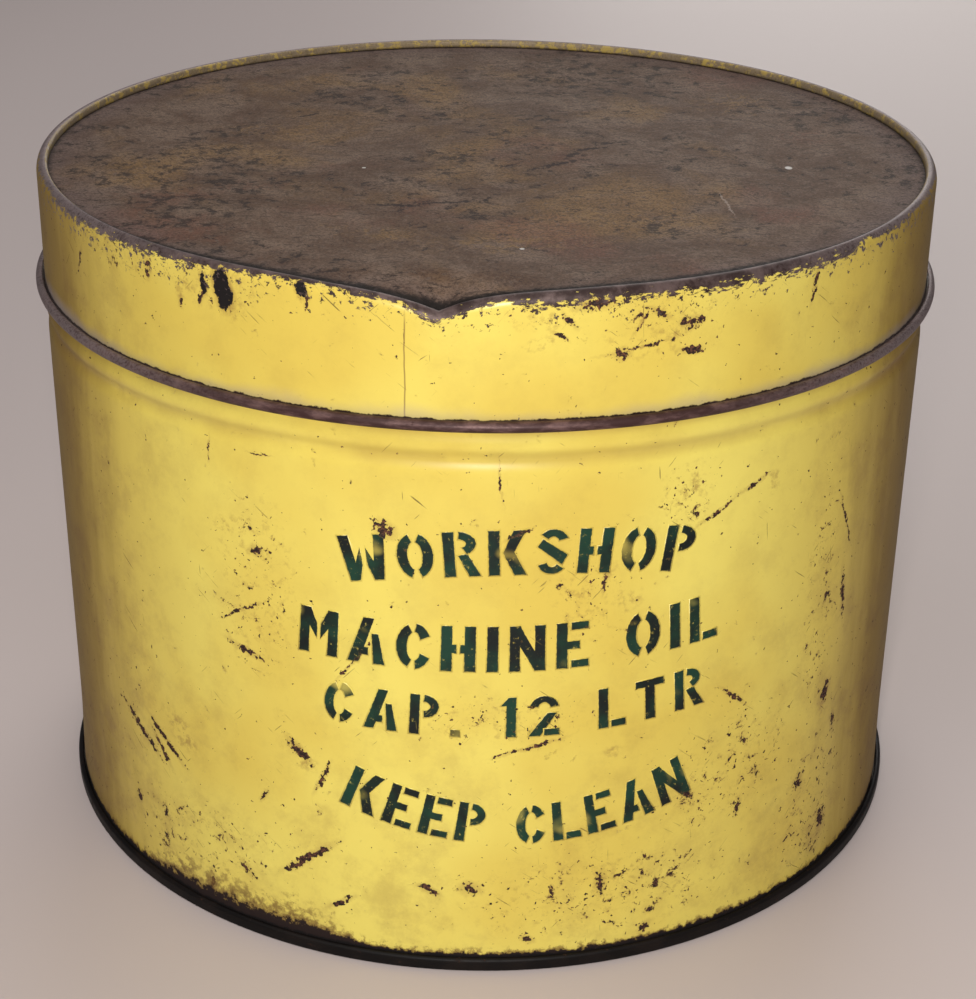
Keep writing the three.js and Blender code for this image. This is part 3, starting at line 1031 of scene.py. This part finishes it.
# each letter's width and parts, for a capital height of 1
glyphs = {
    "A": (0.74, [[(0, 0), (0.21, 0), (0.265, 0.18), (0.40, 0.18),
                  (0.40, 0.34), (0.315, 0.34), (0.50, 1), (0.29, 1)],
                 [(0.53, 0), (0.74, 0), (0.60, 0.66), (0.47, 0.66)]]),
    "C": (0.66, [bow((0.36, 0.5), (0.36, 0.5), 112, 248), bow((0.36, 0.5), (0.34, 0.5), 30, 84),
                 bow((0.36, 0.5), (0.34, 0.5), -84, -30)]),
    "E": (0.62, [[(0, 0), (0.21, 0), (0.21, 0.42), (0.46, 0.42),
                  (0.46, 0.58), (0.21, 0.58), (0.21, 1), (0, 1)],
                 box(0.30, 0.85, 0.64, 1), box(0.30, 0, 0.64, 0.15)]),
    "H": (0.68, [[(0, 0), (0.21, 0), (0.21, 0.41), (0.295, 0.41),
                  (0.295, 0.59), (0.21, 0.59), (0.21, 1), (0, 1)],
                 [(0.68, 0), (0.68, 1), (0.47, 1), (0.47, 0.59),
                  (0.385, 0.59), (0.385, 0.41), (0.47, 0.41), (0.47, 0)]]),
    "I": (0.21, [upright]),
    "K": (0.74, [upright, [(0.29, 0.5), (0.52, 0), (0.75, 0), (0.50, 0.52), (0.72, 1), (0.49, 1)]]),
    "L": (0.60, [upright, box(0.30, 0, 0.62, 0.16)]),
    "M": (0.80, [[(0, 0), (0.2, 0), (0.2, 0.60), (0.355, 0.36), (0.355, 0.66), (0.21, 1), (0, 1)],
                 [(0.8, 0), (0.8, 1), (0.59, 1), (0.445, 0.66), (0.445, 0.36), (0.6, 0.60), (0.6, 0)]]),
    "N": (0.70, [[(0, 0), (0.2, 0), (0.2, 0.55), (0.5, 0), (0.7, 0),
                  (0.7, 1), (0.5, 1), (0.5, 0.42), (0.2, 1), (0, 1)]]),
    "O": (0.72, [bow((0.36, 0.5), (0.36, 0.5), 108, 252), bow((0.36, 0.5), (0.36, 0.5), -72, 72)]),
    "P": (0.64, [upright, bow((0.30, 0.72), (0.34, 0.28), -86, 86, 0.18)]),
    "R": (0.68, [upright, bow((0.30, 0.74), (0.34, 0.26), -60, 86, 0.18),
                 [(0.29, 0.46), (0.50, 0), (0.72, 0), (0.47, 0.50)]]),
    "S": (0.64, [bow((0.32, 0.70), (0.30, 0.30), 22, 140, 0.17),
                 [(0.02, 0.62), (0.12, 0.78), (0.62, 0.42), (0.52, 0.22)],
                 bow((0.32, 0.30), (0.30, 0.30), 202, 320, 0.17)]),
    "T": (0.68, [[(0, 0.84), (0.23, 0.84), (0.23, 0), (0.45, 0),
                  (0.45, 0.84), (0.68, 0.84), (0.68, 1), (0, 1)]]),
    "W": (0.94, [[(0, 1), (0.21, 1), (0.28, 0.40), (0.41, 0.72), (0.41, 0.34), (0.31, 0), (0.12, 0)],
                 [(0.94, 1), (0.73, 1), (0.66, 0.40), (0.53, 0.72), (0.53, 0.34), (0.63, 0), (0.82, 0)]]),
    "1": (0.34, [[(0.12, 0), (0.33, 0), (0.33, 1), (0.17, 1), (0, 0.80), (0.12, 0.80)]]),
    "2": (0.68, [bow((0.34, 0.70), (0.32, 0.30), 8, 165, 0.17),
                 [(0, 0), (0.25, 0), (0.62, 0.56), (0.42, 0.56)], box(0.35, 0, 0.68, 0.15)]),
    ".": (0.20, [box(0, 0, 0.2, 0.16)]),
    " ": (0.34, []),
}

# the angles of a row's two ends, its foot's height, the height of its capitals, the drop of its ends, and its
# rise to the right
rows = [
    {"text": "WORKSHOP", "ends": (-15.6, 24.4), "foot": 132.9, "capital": 13.4, "arch": 4.6, "tilt": 0.4},
    {"text": "MACHINE OIL", "ends": (-21.6, 28.8), "foot": 102.4, "capital": 14.2, "arch": -2.2, "tilt": 0.8},
    {"text": "CAP. 12 LTR", "ends": (-18.7, 27.4), "foot": 81.0, "capital": 12.8, "arch": -2.3, "tilt": 0.6},
    {"text": "KEEP CLEAN", "ends": (-16.8, 26.5), "foot": 44.6, "capital": 13.0, "arch": -10.2, "tilt": -0.4},
]


def grown(outline, margin):
    # the outline pushed out by a margin, for the soft sprayed edge
    points = np.array(outline)
    x, y = points[:, 0], points[:, 1]
    if np.sum(x * np.roll(y, -1) - np.roll(x, -1) * y) < 0:
        points = points[::-1]
    ahead = np.roll(points, -1, axis=0) - points
    ahead /= np.linalg.norm(ahead, axis=1)[:, None]
    behind = np.roll(ahead, 1, axis=0)
    along = ahead + behind
    along /= np.linalg.norm(along, axis=1)[:, None]
    stretch = 1 / np.clip(np.sum(along * ahead, axis=1), 0.55, 1)
    outward = np.stack([along[:, 1], -along[:, 0]], 1) * stretch[:, None]
    return points - outward * margin * 0.5, points + outward * margin


def rowMesh(name, row):
    widths = [glyphs[letter][0] * row["capital"] for letter in row["text"]]
    whole = math.radians(row["ends"][1] - row["ends"][0]) * wall["radius"]
    space = (whole - sum(widths)) / (len(widths) - 1)
    x = -whole / 2
    places, faces, core = [], [], []
    for letter, width in zip(row["text"], widths):
        for outline in glyphs[letter][1]:
            flatPart = [(x + px * row["capital"], py * row["capital"]) for px, py in outline]
            inside, outside = grown(flatPart, 0.42)
            first, count = len(places), len(inside)
            places += [*inside, *outside]
            core += [1.0] * count + [0.0] * count
            faces.append([first + i for i in range(count)])
            for i in range(count):
                j = (i + 1) % count
                faces.append([first + i, first + count + i, first + count + j, first + j])
        x += width + space
    mesh = bpy.data.meshes.new(name + "_flat")
    mesh.from_pydata([(px * mm, py * mm, 0) for px, py in places], [], faces)
    mesh.attributes.new("core", "FLOAT", "POINT").data.foreach_set("value", core)
    return mesh, whole


def wrappingTree():
    sockets = {"Row": "Geometry"}
    for label in ("Radius", "Middle angle", "Height", "Arch", "Tilt", "Thickness"):
        sockets[label] = "Float"
    tree, source = newTree("wrappedRow", {**sockets, "Finish": "Material"})
    cut = addNode(tree, "GeometryNodeTriangulate", (source["Row"],)).outputs[0]
    inputs = {"Mesh": cut, "Offset": (0, 0, 1), "Offset Scale": source["Thickness"], "Individual": False}
    raised = addNode(tree, "GeometryNodeExtrudeMesh", inputs, mode="FACES")
    back = addNode(tree, "GeometryNodeFlipFaces", (cut,))
    both = addNode(tree, "GeometryNodeJoinGeometry", (raised.outputs["Mesh"],))
    feed(both.inputs[0], back.outputs[0])
    weld = addNode(tree, "GeometryNodeMergeByDistance", {"Geometry": both.outputs[0], "Distance": 0.01 * mm})
    x, y, z = parts(addNode(tree, "GeometryNodeInputPosition").outputs[0])
    # letters lean with the arch, as on a curved stencil
    along = total(x, product(x, y, source["Arch"], 2.0))
    sag = product(x, x, source["Arch"])
    height = total(minus(y, sag), product(x, source["Tilt"]), source["Height"])
    angle = total(maths("DIVIDE", along, source["Radius"]), source["Middle angle"])
    radius = total(source["Radius"], z)
    across = product(radius, maths("SINE", angle))
    forward = product(radius, maths("COSINE", angle), -1.0)
    inputs = {"Geometry": weld.outputs[0], "Position": combined(across, forward, height)}
    finishTree(tree, addNode(tree, "GeometryNodeSetPosition", inputs).outputs[0], source["Finish"])
    return tree


wrappedRow = wrappingTree()
for number, row in enumerate(rows, 1):
    name = f"lettering_row_{number}"
    mesh, whole = rowMesh(name, row)
    lettering = runTree(name, mesh, wrappedRow, {
        "Radius": (wall["radius"] + sheet / 2 + 0.06) * mm,
        "Middle angle": math.radians(sum(row["ends"])) / 2,
        "Height": row["foot"] * mm,
        "Arch": row["arch"] / (whole / 2) ** 2 / mm,
        "Tilt": row["tilt"] * 2 / whole,
        "Thickness": 0.03 * mm,
        "Finish": stencilPaint,
    })
    pushWall(lettering, bodyDents, wall["seamTop"], 181)
    facedOut(lettering)
    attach(lettering, "can")
print("lettering made")


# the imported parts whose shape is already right

for nodeName, finish in (("side_seam_solder", softSolder), ("mouth_wire", steelWire),
                         ("lid_rim_wire", steelWire), ("seam_compound", sealing)):
    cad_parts[nodeName].data.materials.clear()
    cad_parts[nodeName].data.materials.append(finish)


# floor and light

studio = {"floor": (0.50, 0.43, 0.415), "floorSize": 6000}

floorMesh = bpy.data.meshes.new("floor")
reach = studio["floorSize"] / 2 * mm
corners = [(-reach, -reach, 0), (reach, -reach, 0), (reach, reach, 0), (-reach, reach, 0)]
floorMesh.from_pydata(corners, [], [(0, 1, 2, 3)])
floor = bpy.data.objects.new("floor", floorMesh)
bpy.context.scene.collection.objects.link(floor)
floorPaint, tree = newMaterial("floorPaint")
shader = tree.nodes["Principled BSDF"]
shader.inputs["Base Color"].default_value = (*studio["floor"], 1)
shader.inputs["Roughness"].default_value = 0.6
floorMesh.materials.append(floorPaint)

lights = [
    {"name": "fillBox", "place": (500, 2300, 520), "size": 900, "power": 9, "colour": (1.0, 0.97, 0.93)},
    {"name": "frontLight", "place": (-14, -690, 374), "size": 70, "power": 3.9, "colour": (1.0, 0.97, 0.93)},
    {"name": "topBox", "place": (-250, -650, 1500), "size": 1100, "power": 8, "colour": (1.0, 0.98, 0.95)},
    {"name": "backBox", "place": (150, 1050, 1500), "size": 1000, "power": 12, "colour": (1.0, 0.98, 0.95)},
]
aim = Vector((0, 0, 0.11))
for light in lights:
    data = bpy.data.lights.new(light["name"], "AREA")
    data.size = light["size"] * mm
    data.energy = light["power"]
    data.color = light["colour"]
    lamp = bpy.data.objects.new(light["name"], data)
    bpy.context.scene.collection.objects.link(lamp)
    lamp.location = Vector(light["place"]) * mm
    lamp.rotation_euler = (aim - lamp.location).to_track_quat("-Z", "Y").to_euler()

world = bpy.data.worlds.new("world")
bpy.context.scene.world = world
world.use_nodes = True
world.node_tree.nodes["Background"].inputs["Color"].default_value = (0.9, 0.92, 1.0, 1)
world.node_tree.nodes["Background"].inputs["Strength"].default_value = 0.13
bpy.context.scene.view_settings.view_transform = "Standard"
print("studio ready")
